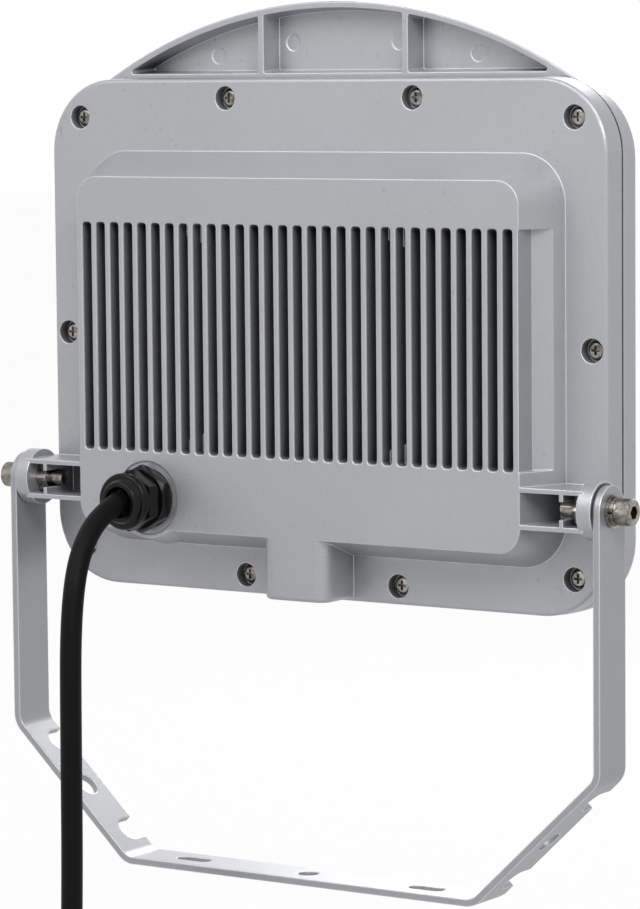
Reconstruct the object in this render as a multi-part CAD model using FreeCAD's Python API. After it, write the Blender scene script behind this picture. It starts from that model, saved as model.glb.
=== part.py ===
import FreeCAD, Part
import math
import os

os.makedirs("parts", exist_ok=True)

V = FreeCAD.Vector

# LED floodlight on a stirrup bracket, in millimetres.
# The part's frame: +Z up, -Y towards the lit side, origin at the middle of the bracket's foot.
# The head is drawn about the tilt axis (X through its own origin) and then lifted to its height.

PIVOT_HEIGHT = 196.0

# Outline of the head, measured from the tilt axis
HEAD_HALF_WIDTH = 165.3
HEAD_TOP = 205.6
HEAD_BOTTOM = -55.8
HEAD_CORNER_R = 37.5

# Layers of the head along Y
FLANGE_REAR = -14.4
FLANGE_DEPTH = 13.0
FLANGE_DRAFT = 0.8
SEAL_T = 1.0
SEAL_INSET = 0.1
FRAME_DEPTH = 15.6
CAST_WALL = 3.0
FLANGE_EDGE_R = 1.8
JOINT_CHAMFER = 0.5
FRAME_EDGE_R = 5.0

# Heat sink block behind the flange
BLOCK_REAR = 11.4
BLOCK_HALF_WIDTH = 130.5
BLOCK_TOP = 156.2
BLOCK_BOTTOM = -22.3
BLOCK_CORNER_R = 12.0
BLOCK_SPREAD_SIDE = 11.0
BLOCK_SPREAD_TOP = 12.3
BLOCK_SPREAD_BOTTOM = 9.5
BLOCK_FOOT_R = 24.0

# Cooling slots
SLOT_COUNT = 30
SLOT_MARGIN = 1.89
SLOT_W = 5.4
SLOT_TOP = 133.0
SLOT_BOTTOM = 17.2
SLOT_FLOOR = -10.0
SLOT_CORNER_R = 1.7
SLOT_CHAMFER = 0.45
SIDE_STEP_FLOOR = -1.6
SIDE_STEP_SLOPE = 0.70

# Board pads that stand in the slots
PAD_X = 60.0
PAD_INSET = 1.5
PAD_R = 8.3
PAD_BELOW_REAR = 7.4

# Hinge boxes and discs at the head's sides
BOX_HALF_HEIGHT = 10.1
BOX_WALL = 2.3
BOX_FLOOR = -11.5
BOX_RIB_FROM_SIDE = 12.9
BOX_RIB_T = 2.0
BOX_RIB_SLOT = 8.8
DISC_R = 14.3
DISC_PROUD = 5.3

# Boss below the block
LUG_HALF_WIDTH = 19.3
LUG_BOTTOM = -53.5
LUG_CORNER_R = 7.3
LUG_EDGE_R = 2.0

# Chamber walls inside the two castings
CHAMBER_FROM_SIDE = 23.3
CHAMBER_FROM_TOP = 18.6
CHAMBER_FROM_BOTTOM = 17.8
CHAMBER_R = 24.0
CHAMBER_WALL = 4.0
BOARD_SEAT_Y = -15.0
PARTITION_T = 4.0

# Screws that join frame and housing: M5 pan heads in round recesses
SCREW_R = 2.5
SCREW_CLEAR = 0.25
SCREW_HEAD_R = 4.7
SCREW_HEAD_H = 3.3
SCREW_LENGTH = 16.0
SCREW_BOSS_R = 7.5
RECESS_R = 6.0
RECESS_DEPTH = 6.6
CORNER_SCREW_INSET = (18.8, 19.8)
TOP_SCREW_X = 55.5
TOP_SCREW_INSET = 10.3
SIDE_SCREW_INSET = 9.4
SIDE_SCREW_Z = 74.5
LOWER_SCREW_INSET = (19.4, 19.7)
BOTTOM_SCREW_X = 45.6
BOTTOM_SCREW_INSET = 10.0

# Arched brow of the front frame
BROW_R = 268.0
BROW_TOP = 243.1
BROW_SHOULDER_R = 40.0
BROW_RIM = 3.1
BROW_SHELF = 207.5
BROW_POCKET_DRAFT = 1.4
BROW_POCKET_R = 1.2
BROW_RIB_X = 42.9
BROW_RIB_T = 3.1
EJECTOR_R = 4.2
EJECTOR_DEPTH = 0.4
EJECTOR_OUTER = (77.4, 216.6)
EJECTOR_INNER = (31.5, 222.8)

# Window, glass and reflector
WINDOW_INSET = 11.0
WINDOW_R = 14.0
FRAME_FACE_T = 3.0
GLASS_INSET = 3.0
GLASS_T = 4.0
GLASS_SEAL_T = 1.2
GLASS_SEAL_LIP = 6.0
GLASS_SEAL_PLAY = 0.4
REFLECTOR_T = 1.0
REFLECTOR_PLAY = 0.6
REFLECTOR_BASE_HALF = 69.0
REFLECTOR_BASE_HALF_H = 62.0
REFLECTOR_BASE_R = 10.0
LIGHT_HALF = 47.0

# LED board
BOARD_HALF_W = 71.0
BOARD_HALF_H = 63.5
BOARD_T = 1.6
BOARD_CORNER_R = 4.0
BOARD_SEAT_ROOM = 4.0
LED_WIRE_XS = (-34.0, -29.0)
LED_ROWS = 9
LED_PITCH = 9.6
LED_SIZE = 3.5
LED_T = 0.7
M3_R = 1.5
M3_HEAD_R = 2.8
M3_HEAD_H = 1.8
M3_DEPTH = 4.0
M3_BLIND = 2.2
M3_END_ROOM = 0.4

# Driver in the lower chamber
DRIVER_END_PLAY = 0.5
DRIVER_FROM_GLAND = 46.5
DRIVER_EAR = 12.0
DRIVER_Z0 = -17.5
DRIVER_Z1 = 8.5
DRIVER_DEPTH = 19.5
DRIVER_PLATE_T = 2.0
DRIVER_SHELL_T = 1.0
PCB_T = 1.6
PCB_FOOT = 3.0
CAPACITOR_R = 6.0
CAPACITOR_H = 13.0
CAPACITOR_STEP = 16.0

# Terminal block
TERMINAL_W = 14.0
TERMINAL_GAP = 4.5
TERMINAL_H = 24.0
TERMINAL_D = 15.5
CORE_R = 1.4
CORE_SPREAD = 7.0
WIRE_R = 1.0

# Cable and gland
CABLE_D = 10.8
GLAND_FROM_SIDE = 42.0
GLAND_Z = -6.3
GLAND_BOSS_R = 20.5
GLAND_FOOT_R = 25.0
GLAND_FOOT_Y = -4.0
GLAND_SPOTFACE_R = 18.7
GLAND_SPOTFACE_DEPTH = 1.0
GLAND_WALL = 4.5
GLAND_THREAD_R = 12.5
GLAND_THREAD_CLEAR = 0.1
GLAND_RING_T = 1.5
GLAND_RING_R = 15.2
GLAND_HEX_AF = 30.0
GLAND_HEX_H = 7.0
GLAND_CAP_GAP = 0.6
GLAND_CAP_AF = 27.0
GLAND_CAP_HEX_H = 8.5
GLAND_COLLAR_R = 14.4
GLAND_COLLAR_H = 5.5
GLAND_NOSE_R = 11.0
GLAND_NOSE_H = 3.1
GLAND_MOUTH_R = 6.4
GLAND_NECK_R = 9.3
GLAND_NECK_L = 9.5
GLAND_BUSH_R = 6.9
BUSH_CLEAR = 0.1
BUSH_COLLAR_T = 2.8
LOCKNUT_AF = 29.0
LOCKNUT_T = 5.0
CABLE_INSIDE = 10.0

# Bracket: one folded strip
STRIP_W = 25.0
STRIP_T = 3.5
SLOPE_RUN = 70.1
SHOULDER_Z = 67.2
FOLD_R = 12.0
NOTCH_R = 6.7
NOTCH_INSET = 7.5
NOTCH_FROM_FOOT = 17.0
NOTCH_FROM_SHOULDER = 18.4
SLOPE_HOLE_R = 6.2
FIXING_SLOT_W = 8.5
FIXING_SLOT_L = 20.0
FIXING_SLOT_X = 70.0
CENTRE_HOLE_R = 5.25

# Pivot hardware, M8
BOLT_R = 4.0
BOLT_CLEAR = 0.2
THREAD_CLEAR = 0.02
BOLT_HEAD_R = 6.5
BOLT_HEAD_H = 8.0
BOLT_KEY_AF = 6.0
BOLT_KEY_DEPTH = 4.0
BOLT_LENGTH = 30.0
WASHER_R = 8.0
WASHER_T = 1.6
SPRING_WASHER_R = 7.2
SPRING_WASHER_T = 2.1
NUT_AF = 13.0
NUT_H = 6.5
PAD_WASHER_R = 13.0
PAD_WASHER_T = 0.75
BOLT_END_ROOM = 1.0

# The cable's free part, from the middle of the gland's nose: it droops and hangs
CORD_POINTS = [
    (0.0, -0.1, 0.0),
    (-0.2, 13.6, -4.7),
    (-0.9, 26.5, -13.4),
    (-2.2, 36.6, -25.9),
    (-3.7, 43.3, -42.5),
    (-4.6, 47.0, -65.7),
    (-4.9, 48.0, -97.7),
    (-4.5, 47.8, -133.7),
    (-3.6, 47.0, -169.7),
    (-2.5, 46.7, -205.7),
    (-2.0, 47.4, -240.7),
    (-2.3, 48.7, -274.7),
]
CORE_END_LENGTH = 34.0
CORE_FAN = 5.0
FERRULE_R = 1.0
FERRULE_L = 8.0
FERRULE_COLLAR_R = 1.9
FERRULE_COLLAR_L = 5.0

# Worked out from the sizes above
FLANGE_FRONT = FLANGE_REAR - FLANGE_DEPTH
FRAME_REAR = FLANGE_FRONT - SEAL_T
FRAME_FRONT = FRAME_REAR - FRAME_DEPTH
FLANGE_INNER = FLANGE_REAR - CAST_WALL
FRAME_INNER = FRAME_FRONT + FRAME_FACE_T
LIGHT_Z = (SLOT_TOP + SLOT_BOTTOM) / 2
GLAND_SEAT = BLOCK_REAR - GLAND_SPOTFACE_DEPTH
GLAND_NUT_SEAT = GLAND_SEAT - GLAND_WALL
SLOT_PITCH = 2 * (BLOCK_HALF_WIDTH - SLOT_MARGIN) / SLOT_COUNT
BOX_RIB_X = HEAD_HALF_WIDTH - BOX_RIB_FROM_SIDE
DISC_FACE_X = HEAD_HALF_WIDTH + DISC_PROUD
ARM_INNER_X = DISC_FACE_X + PAD_WASHER_T
ARM_OUTER_X = ARM_INNER_X + STRIP_T
FOOT_CORNER_X = ARM_OUTER_X - SLOPE_RUN
CHAMBER_HALF_WIDTH = HEAD_HALF_WIDTH - CHAMBER_FROM_SIDE
CHAMBER_TOP = HEAD_TOP - CHAMBER_FROM_TOP
CHAMBER_BOTTOM = HEAD_BOTTOM + CHAMBER_FROM_BOTTOM
GLAND_X = BLOCK_HALF_WIDTH - GLAND_FROM_SIDE
CHAMBER_BACK = BLOCK_REAR - CAST_WALL
SCREW_SEAT = FLANGE_REAR - RECESS_DEPTH
GLASS_FRONT = FRAME_INNER + GLASS_SEAL_T
GLASS_REAR = GLASS_FRONT + GLASS_T
DRIVER_BACK = CHAMBER_BACK - DRIVER_PLATE_T
DRIVER_FRONT = DRIVER_BACK - DRIVER_DEPTH
DRIVER_X0 = -(BLOCK_HALF_WIDTH - CAST_WALL - DRIVER_END_PLAY - DRIVER_EAR)
DRIVER_X1 = GLAND_X - DRIVER_FROM_GLAND
DRIVER_MID_X = (DRIVER_X0 + DRIVER_X1) / 2
DRIVER_MID_Z = (DRIVER_Z0 + DRIVER_Z1) / 2
PCB_Y = DRIVER_BACK - PCB_FOOT
PCB_FACE = PCB_Y - PCB_T
TERMINAL_X0 = GLAND_X + GLAND_BOSS_R - CAST_WALL + TERMINAL_GAP
TERMINAL_FRONT = CHAMBER_BACK - TERMINAL_D
CABLE_TAIL = GLAND_NUT_SEAT - LOCKNUT_T - CABLE_INSIDE + GLAND_WALL
HEX_Y0 = GLAND_SEAT + GLAND_RING_T
HEX_Y1 = HEX_Y0 + GLAND_HEX_H
CAP_Y0 = HEX_Y1 + GLAND_CAP_GAP
NECK_Y1 = CAP_Y0 + GLAND_NECK_L
COLLAR_Y0 = CAP_Y0 + GLAND_CAP_HEX_H
COLLAR_Y1 = COLLAR_Y0 + GLAND_COLLAR_H
NOSE_Y1 = COLLAR_Y1 + GLAND_NOSE_H
WASHER_X1 = ARM_OUTER_X + WASHER_T
SPRING_X1 = WASHER_X1 + SPRING_WASHER_T
BOLT_END_X = SPRING_X1 - BOLT_LENGTH
EPS = 0.01


def box(x0, x1, y0, y1, z0, z1):
    return Part.makeBox(x1 - x0, y1 - y0, z1 - z0, V(x0, y0, z0))


def rod_x(x0, x1, y, z, r):
    return Part.makeCylinder(r, x1 - x0, V(x0, y, z), V(1, 0, 0))


def rod_y(x, y0, y1, z, r):
    return Part.makeCylinder(r, y1 - y0, V(x, y0, z), V(0, 1, 0))


def cone_y(x, y0, y1, z, r0, r1):
    return Part.makeCone(r0, r1, y1 - y0, V(x, y0, z), V(0, 1, 0))


def hexagon(across_flats, height, apex_up=True):
    """A hexagonal prism along +Z from the origin, with an apex or a flat towards +Y."""
    start = math.pi / 2 if apex_up else 0.0
    r = across_flats / 2 / math.cos(math.pi / 6)
    turns = [start + k * math.pi / 3 for k in range(7)]
    pts = [V(r * math.cos(a), r * math.sin(a), 0) for a in turns]
    return Part.Face(Part.makePolygon(pts)).extrude(V(0, 0, height))


def hexagon_y(x, y0, y1, z, across_flats, apex_up=True):
    """The prism laid along +Y."""
    solid = hexagon(across_flats, y1 - y0, apex_up)
    solid.rotate(V(0, 0, 0), V(1, 0, 0), -90)
    solid.translate(V(x, y0, z))
    return solid


def round_wire(x0, x1, z0, z1, r, y):
    """A rounded rectangle in the plane at y, as one closed wire."""
    k = r * (1 - math.sqrt(0.5))
    corners = [
        (V(x1, y, z1 - r), V(x1 - k, y, z1 - k), V(x1 - r, y, z1)),
        (V(x0 + r, y, z1), V(x0 + k, y, z1 - k), V(x0, y, z1 - r)),
        (V(x0, y, z0 + r), V(x0 + k, y, z0 + k), V(x0 + r, y, z0)),
        (V(x1 - r, y, z0), V(x1 - k, y, z0 + k), V(x1, y, z0 + r)),
    ]
    edges = []
    for i, (a, m, b) in enumerate(corners):
        edges.append(Part.Arc(a, m, b).toShape())
        edges.append(Part.LineSegment(b, corners[(i + 1) % 4][0]).toShape())
    return Part.Wire(edges)


def round_slab(x0, x1, z0, z1, r, y0, y1):
    return Part.Face(round_wire(x0, x1, z0, z1, r, y0)).extrude(V(0, y1 - y0, 0))


def outline_wire(inset, y):
    """The flange's outline, moved inwards."""
    w = HEAD_HALF_WIDTH - inset
    return round_wire(-w, w, HEAD_BOTTOM + inset, HEAD_TOP - inset, HEAD_CORNER_R - inset, y)


def outline_slab(inset, y0, y1):
    return Part.Face(outline_wire(inset, y0)).extrude(V(0, y1 - y0, 0))


def chamber_slab(outset, r, y0, y1):
    """A slab with the chamber's outline moved outwards."""
    w = CHAMBER_HALF_WIDTH + outset
    return round_slab(-w, w, CHAMBER_BOTTOM - outset, CHAMBER_TOP + outset, r, y0, y1)


def board_slab(grow, y0, y1):
    """A slab with the LED board's outline, moved outwards by grow."""
    w, h = BOARD_HALF_W + grow, BOARD_HALF_H + grow
    return round_slab(-w, w, LIGHT_Z - h, LIGHT_Z + h, BOARD_CORNER_R + grow, y0, y1)


def ruled(wires):
    return Part.makeLoft(wires, True, True)


def mirrored(points):
    """Points of (x, z), each with its twin on the other side of the head."""
    return [(s * x, z) for x, z in points for s in (1, -1)]


def both_sides(solid):
    return Part.makeCompound([solid, solid.mirror(V(0, 0, 0), V(1, 0, 0))])


def screw_points():
    w = HEAD_HALF_WIDTH
    return mirrored([
        (w - CORNER_SCREW_INSET[0], HEAD_TOP - CORNER_SCREW_INSET[1]),
        (TOP_SCREW_X, HEAD_TOP - TOP_SCREW_INSET),
        (w - SIDE_SCREW_INSET, SIDE_SCREW_Z),
        (w - LOWER_SCREW_INSET[0], HEAD_BOTTOM + LOWER_SCREW_INSET[1]),
        (BOTTOM_SCREW_X, HEAD_BOTTOM + BOTTOM_SCREW_INSET),
    ])


def pad_points():
    return mirrored([(PAD_X, SLOT_TOP - PAD_INSET), (PAD_X, SLOT_BOTTOM + PAD_INSET)])


def joined(shapes):
    return shapes[0].multiFuse(shapes[1:]).removeSplitter()


def block_loft(inset, y0, y1):
    """The block's drafted form between two depths, moved inwards by inset."""
    def wire(y):
        t = (BLOCK_REAR - y) / (BLOCK_REAR - FLANGE_REAR)
        w = BLOCK_HALF_WIDTH + BLOCK_SPREAD_SIDE * t - inset
        top = BLOCK_TOP + BLOCK_SPREAD_TOP * t - inset
        bottom = BLOCK_BOTTOM - BLOCK_SPREAD_BOTTOM * t + inset
        r = BLOCK_CORNER_R + (BLOCK_FOOT_R - BLOCK_CORNER_R) * t - inset
        return round_wire(-w, w, bottom, top, r, y)
    return ruled([wire(y0), wire(y1)])


def slot_cutter(x):
    """One cooling slot, with its rim chamfered."""
    def wire(grow, y):
        half = SLOT_W / 2 + grow
        return round_wire(x - half, x + half, SLOT_BOTTOM - grow, SLOT_TOP + grow, SLOT_CORNER_R + grow, y)
    shaft = Part.Face(wire(0, SLOT_FLOOR)).extrude(V(0, BLOCK_REAR + EPS - SLOT_FLOOR, 0))
    rim = ruled([wire(0, BLOCK_REAR - SLOT_CHAMFER), wire(SLOT_CHAMFER + EPS, BLOCK_REAR + EPS)])
    return shaft.fuse(rim)


def slot_positions():
    first = -(SLOT_COUNT - 1) / 2 * SLOT_PITCH
    return [first + k * SLOT_PITCH for k in range(SLOT_COUNT)]


def side_step(side):
    """The cut that frees the outer face of the last fin."""
    inner = slot_positions()[-1] + SLOT_PITCH - SLOT_W / 2
    outer = BLOCK_HALF_WIDTH + BLOCK_SPREAD_SIDE + 1
    drop = (outer - inner) * SIDE_STEP_SLOPE
    points = [
        V(inner, BLOCK_REAR + 1, SLOT_BOTTOM),
        V(inner, SIDE_STEP_FLOOR, SLOT_BOTTOM),
        V(outer, SIDE_STEP_FLOOR - drop, SLOT_BOTTOM),
        V(outer, BLOCK_REAR + 1, SLOT_BOTTOM),
    ]
    cut = Part.Face(Part.makePolygon(points + points[:1])).extrude(V(0, 0, SLOT_TOP - SLOT_BOTTOM))
    return cut if side > 0 else cut.mirror(V(0, 0, 0), V(1, 0, 0))


def gland_boss():
    """The tapered boss round the gland, with a wider foot on the flange."""
    profile = [
        V(0, FLANGE_REAR - EPS, 0),
        V(GLAND_FOOT_R, FLANGE_REAR - EPS, 0),
        V(GLAND_FOOT_R, GLAND_FOOT_Y, 0),
        V(GLAND_BOSS_R, BLOCK_REAR, 0),
        V(0, BLOCK_REAR, 0),
    ]
    solid = Part.Face(Part.makePolygon(profile + profile[:1])).revolve(V(0, 0, 0), V(0, 1, 0), 360)
    solid.translate(V(GLAND_X, 0, GLAND_Z))
    return solid


def lug():
    """The boss below the block, with well rounded rear corners."""
    solid = box(-LUG_HALF_WIDTH, LUG_HALF_WIDTH, FLANGE_REAR - 1, BLOCK_REAR, LUG_BOTTOM,
                BLOCK_BOTTOM + BLOCK_CORNER_R)
    rear_corners = [e for e in solid.Edges
                    if e.BoundBox.ZLength > 1 and e.BoundBox.YMin > BLOCK_REAR - EPS]
    solid = solid.makeFillet(LUG_CORNER_R, rear_corners)
    lower = [e for e in solid.Edges
             if e.BoundBox.ZMax < LUG_BOTTOM + EPS and e.BoundBox.YMax > FLANGE_REAR]
    return solid.makeFillet(LUG_EDGE_R, lower)


def hinge_box(side):
    h = BOX_HALF_HEIGHT
    body = box(BLOCK_HALF_WIDTH - 3, HEAD_HALF_WIDTH, FLANGE_REAR - EPS, BLOCK_REAR, -h, h)
    disc = rod_x(HEAD_HALF_WIDTH - BOX_WALL, DISC_FACE_X, 0, 0, DISC_R)
    solid = body.fuse(disc)
    return solid if side > 0 else solid.mirror(V(0, 0, 0), V(1, 0, 0))


def hinge_pocket(side, block):
    """What is cut from a hinge box: the open pocket, the slot through its rib and the bolt's hole."""
    h = BOX_HALF_HEIGHT - BOX_WALL
    half = BOX_RIB_SLOT / 2
    rib_end = BOX_RIB_X + BOX_RIB_T
    near = box(BLOCK_HALF_WIDTH - 4, BOX_RIB_X, BOX_FLOOR, BLOCK_REAR + 1, -h, h)
    far = box(rib_end, HEAD_HALF_WIDTH - BOX_WALL, BOX_FLOOR, BLOCK_REAR + 1, -h, h)
    slit = box(BOX_RIB_X - 1, rib_end + 1, 0, BLOCK_REAR + 1, -half, half)
    slit_end = rod_x(BOX_RIB_X - 1, rib_end + 1, 0, 0, half)
    hole = rod_x(HEAD_HALF_WIDTH - BOX_WALL - 1, DISC_FACE_X + 1, 0, 0, BOLT_R + BOLT_CLEAR)
    cut = near.multiFuse([far, slit, slit_end, hole])
    if side < 0:
        cut = cut.mirror(V(0, 0, 0), V(1, 0, 0))
    return cut.cut(block)


def ring_channel(y0, y1, outer_wall):
    """The space between the outer wall and the chamber wall, left hollow to save metal."""
    outer = outline_slab(outer_wall, y0, y1)
    inner = chamber_slab(CHAMBER_WALL, CHAMBER_R + CHAMBER_WALL, y0 - 1, y1 + 1)
    channel = outer.cut(inner)
    bosses = [rod_y(x, y0 - 1, y1 + 1, z, SCREW_BOSS_R) for x, z in screw_points()]
    return channel.cut(bosses[0].multiFuse(bosses[1:]))


def housing_chambers(block):
    """Everything that is hollow inside the rear housing."""
    front = FLANGE_FRONT - 1
    main = chamber_slab(0, CHAMBER_R, front, FLANGE_INNER)
    seat = board_slab(BOARD_SEAT_ROOM, FLANGE_INNER - 1, BOARD_SEAT_Y)
    inner = block_loft(CAST_WALL, FLANGE_INNER - 1, CHAMBER_BACK)
    w = BLOCK_HALF_WIDTH + BLOCK_SPREAD_SIDE + 10
    below = inner.common(box(-w, w, front, BLOCK_REAR, BLOCK_BOTTOM - 30, SLOT_BOTTOM - PARTITION_T))
    above = inner.common(box(-w, w, front, BLOCK_REAR, SLOT_TOP + PARTITION_T, BLOCK_TOP + 30))
    gland_bay = rod_y(GLAND_X, FLANGE_INNER - 1, GLAND_NUT_SEAT, GLAND_Z, GLAND_BOSS_R - CAST_WALL)
    gland_wall = rod_y(GLAND_X, GLAND_NUT_SEAT, BLOCK_REAR, GLAND_Z, GLAND_BOSS_R)
    lug_bay = box(-LUG_HALF_WIDTH + LUG_CORNER_R, LUG_HALF_WIDTH - LUG_CORNER_R, FLANGE_INNER - 1,
                  CHAMBER_BACK, CHAMBER_BOTTOM + 1, BLOCK_BOTTOM + BLOCK_CORNER_R)
    below = below.fuse(gland_bay).cut(gland_wall)
    return main.multiFuse([seat, below, above, lug_bay])


def rear_housing():
    """The rear casting: flange, finned block, hinge boxes, gland boss and lug."""
    flange = ruled([outline_wire(0, FLANGE_FRONT), outline_wire(FLANGE_DRAFT, FLANGE_REAR)])
    rim = [e for e in flange.Edges if abs(e.BoundBox.YMin - FLANGE_REAR) < EPS and e.BoundBox.YLength < EPS]
    flange = flange.makeFillet(FLANGE_EDGE_R, rim)
    joint = [e for e in flange.Edges if abs(e.BoundBox.YMax - FLANGE_FRONT) < EPS]
    flange = flange.makeChamfer(JOINT_CHAMFER, joint)
    block = block_loft(0, FLANGE_REAR - EPS, BLOCK_REAR)
    solid = flange.multiFuse([block, gland_boss(), lug(), hinge_box(1), hinge_box(-1)])

    pads = [rod_y(x, SLOT_FLOOR - 1, BLOCK_REAR - PAD_BELOW_REAR, z, PAD_R) for x, z in pad_points()]
    pads = pads[0].multiFuse(pads[1:])
    slots = Part.makeCompound([slot_cutter(x).cut(pads) for x in slot_positions()])
    recesses = [rod_y(x, SCREW_SEAT, FLANGE_REAR + 1, z, RECESS_R) for x, z in screw_points()]
    hole_r = SCREW_R + SCREW_CLEAR
    holes = [rod_y(x, FLANGE_FRONT - 1, FLANGE_REAR + 1, z, hole_r) for x, z in screw_points()]
    bore = rod_y(GLAND_X, FLANGE_REAR, BLOCK_REAR + 1, GLAND_Z, GLAND_THREAD_R + GLAND_THREAD_CLEAR)
    spotface = rod_y(GLAND_X, GLAND_SEAT, BLOCK_REAR + 1, GLAND_Z, GLAND_SPOTFACE_R)
    cuts = [ring_channel(FLANGE_FRONT - 1, FLANGE_INNER, CAST_WALL + FLANGE_DRAFT), housing_chambers(block)]
    cuts += [hinge_pocket(1, block), hinge_pocket(-1, block), side_step(1), side_step(-1), bore, spotface]
    cuts.append(both_sides(rod_x(BOLT_END_X - BOLT_END_ROOM, HEAD_HALF_WIDTH, 0, 0, BOLT_R + BOLT_CLEAR)))
    cuts += [rod_y(x, BOARD_SEAT_Y - 1, BOARD_SEAT_Y + M3_DEPTH, z, M3_R) for x, z in pad_points()]
    blind = CHAMBER_BACK + M3_BLIND
    cuts += [rod_y(x, CHAMBER_BACK - 1, blind, z, M3_R) for x, z in driver_screw_points()]
    for cut in cuts + recesses + holes:
        solid = solid.cut(cut)
    return solid.cut(slots)


def driver_screw_points():
    return [(DRIVER_X0 - DRIVER_EAR / 2, DRIVER_MID_Z), (DRIVER_X1 + DRIVER_EAR / 2, DRIVER_MID_Z)]


def brow_outline(y):
    """The frame's outline at y: the flange's lower part, two shoulders and the arched brow."""
    w, r, s = HEAD_HALF_WIDTH, HEAD_CORNER_R, BROW_SHOULDER_R
    centre = BROW_TOP - BROW_R
    lift = math.sqrt((BROW_R - s) ** 2 - (w - s) ** 2)
    turn = math.atan2(lift, w - s)
    z = centre + lift
    tangent = (BROW_R * math.cos(turn), centre + BROW_R * math.sin(turn))
    half = (w - s + s * math.cos(turn / 2), z + s * math.sin(turn / 2))
    k = r * (1 - math.sqrt(0.5))

    def at(point, side):
        return V(side * point[0], y, point[1])

    edges = [Part.Arc(at(tangent, -1), V(0, y, BROW_TOP), at(tangent, 1)).toShape()]
    for side in (1, -1):
        low, corner, foot = (w, HEAD_BOTTOM + r), (w - k, HEAD_BOTTOM + k), (w - r, HEAD_BOTTOM)
        edges.append(Part.Arc(at(tangent, side), at(half, side), at((w, z), side)).toShape())
        edges.append(Part.LineSegment(at((w, z), side), at(low, side)).toShape())
        edges.append(Part.Arc(at(low, side), at(corner, side), at(foot, side)).toShape())
    edges.append(Part.LineSegment(at((w - r, HEAD_BOTTOM), 1), at((w - r, HEAD_BOTTOM), -1)).toShape())
    return Part.Wire(Part.__sortEdges__(edges))


def brow_cell(x0, x1, inset, y):
    """The outline of one cell of the pocket: shelf, ribs' sides and the arc under the rim."""
    centre = BROW_TOP - BROW_R
    r = BROW_R - BROW_RIM - inset
    shelf = BROW_SHELF + inset
    reach = math.sqrt(r ** 2 - (shelf - centre) ** 2)
    left, right = max(x0 + inset, -reach), min(x1 - inset, reach)

    def under_rim(x):
        return V(x, y, centre + math.sqrt(r ** 2 - x ** 2))

    corners = [under_rim(left), under_rim(right)]
    if left > -reach:
        corners.insert(1, V(left, y, shelf))
    if right < reach:
        corners.insert(-1, V(right, y, shelf))
    edges = [Part.Arc(corners[-1], under_rim((left + right) / 2), corners[0]).toShape()]
    edges += [Part.LineSegment(a, b).toShape() for a, b in zip(corners, corners[1:])]
    return Part.Wire(Part.__sortEdges__(edges))


def brow_pocket():
    """The pocket under the brow's rim: open to the rear, drafted, in three cells between two ribs."""
    near, far = BROW_RIB_X - BROW_RIB_T / 2, BROW_RIB_X + BROW_RIB_T / 2
    cells = []
    for x0, x1 in ((-HEAD_HALF_WIDTH, -far), (-near, near), (far, HEAD_HALF_WIDTH)):
        outlines = [brow_cell(x0, x1, BROW_POCKET_DRAFT, FRAME_INNER), brow_cell(x0, x1, 0, FRAME_REAR)]
        cell = ruled(outlines)
        along = [e for e in cell.Edges if e.BoundBox.YLength > EPS]
        cells.append(cell.makeFillet(BROW_POCKET_R, along))
    marks = [rod_y(x, FRAME_INNER - EJECTOR_DEPTH, FRAME_INNER + 1, z, EJECTOR_R)
             for x, z in mirrored([EJECTOR_OUTER, EJECTOR_INNER])]
    return cells[0].multiFuse(cells[1:] + marks)


def window_wire(grow, y):
    """The outline of the lit opening, moved outwards by grow."""
    inset = WINDOW_INSET - grow
    w = CHAMBER_HALF_WIDTH - inset
    return round_wire(-w, w, CHAMBER_BOTTOM + inset, CHAMBER_TOP - inset, WINDOW_R + grow, y)


def window_slab(y0, y1):
    return Part.Face(window_wire(0, y0)).extrude(V(0, y1 - y0, 0))


def front_frame():
    """The front casting with its window and arched brow."""
    solid = Part.Face(brow_outline(FRAME_FRONT)).extrude(V(0, FRAME_DEPTH, 0))
    rim = [e for e in solid.Edges if abs(e.BoundBox.YMin - FRAME_FRONT) < EPS and e.BoundBox.YLength < EPS]
    solid = solid.makeFillet(FRAME_EDGE_R, rim)
    joint = [e for e in solid.Edges if abs(e.BoundBox.YMin - FRAME_REAR) < EPS]
    solid = solid.makeChamfer(JOINT_CHAMFER, joint)
    rear = FRAME_REAR + 1
    cuts = [
        chamber_slab(0, CHAMBER_R, FRAME_INNER, rear),
        window_slab(FRAME_FRONT - 1, FRAME_INNER + 1),
        ring_channel(FRAME_INNER + CAST_WALL, rear, FRAME_EDGE_R),
        brow_pocket(),
    ]
    depth = SCREW_SEAT - SCREW_LENGTH - 1
    cuts += [rod_y(x, depth, rear, z, SCREW_R) for x, z in screw_points()]
    for cut in cuts:
        solid = solid.cut(cut)
    return solid


def housing_seal():
    """The flat seal between flange and frame, set in a little from the edge."""
    seal = outline_slab(SEAL_INSET, FRAME_REAR, FLANGE_FRONT)
    seal = seal.cut(chamber_slab(0, CHAMBER_R, FRAME_REAR - 1, FLANGE_FRONT + 1))
    for x, z in screw_points():
        seal = seal.cut(rod_y(x, FRAME_REAR - 1, FLANGE_FRONT + 1, z, SCREW_R + SCREW_CLEAR))
    return seal


def pan_screw(x, z, seat, towards, r, head_r, head_h, length):
    """A pan-head screw whose head sits at seat; towards is the sign of Y that the head faces."""
    recess = head_r / 2
    head = rod_y(x, 0, head_h, z, head_r)
    crown = [e for e in head.Edges if abs(e.BoundBox.YMin - head_h) < EPS]
    head = head.makeFillet(head_h * 0.6, crown)
    shank = rod_y(x, -length, EPS, z, r)
    thin = recess / 4
    bottom, top = head_h - recess, head_h + 1
    cross = [box(x - w, x + w, bottom, top, z - h, z + h) for w, h in ((recess, thin), (thin, recess))]
    screw = head.fuse(shank).cut(cross[0].fuse(cross[1]))
    if towards < 0:
        screw = screw.mirror(V(0, 0, 0), V(0, 1, 0))
    screw.translate(V(0, seat, 0))
    return screw


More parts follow.
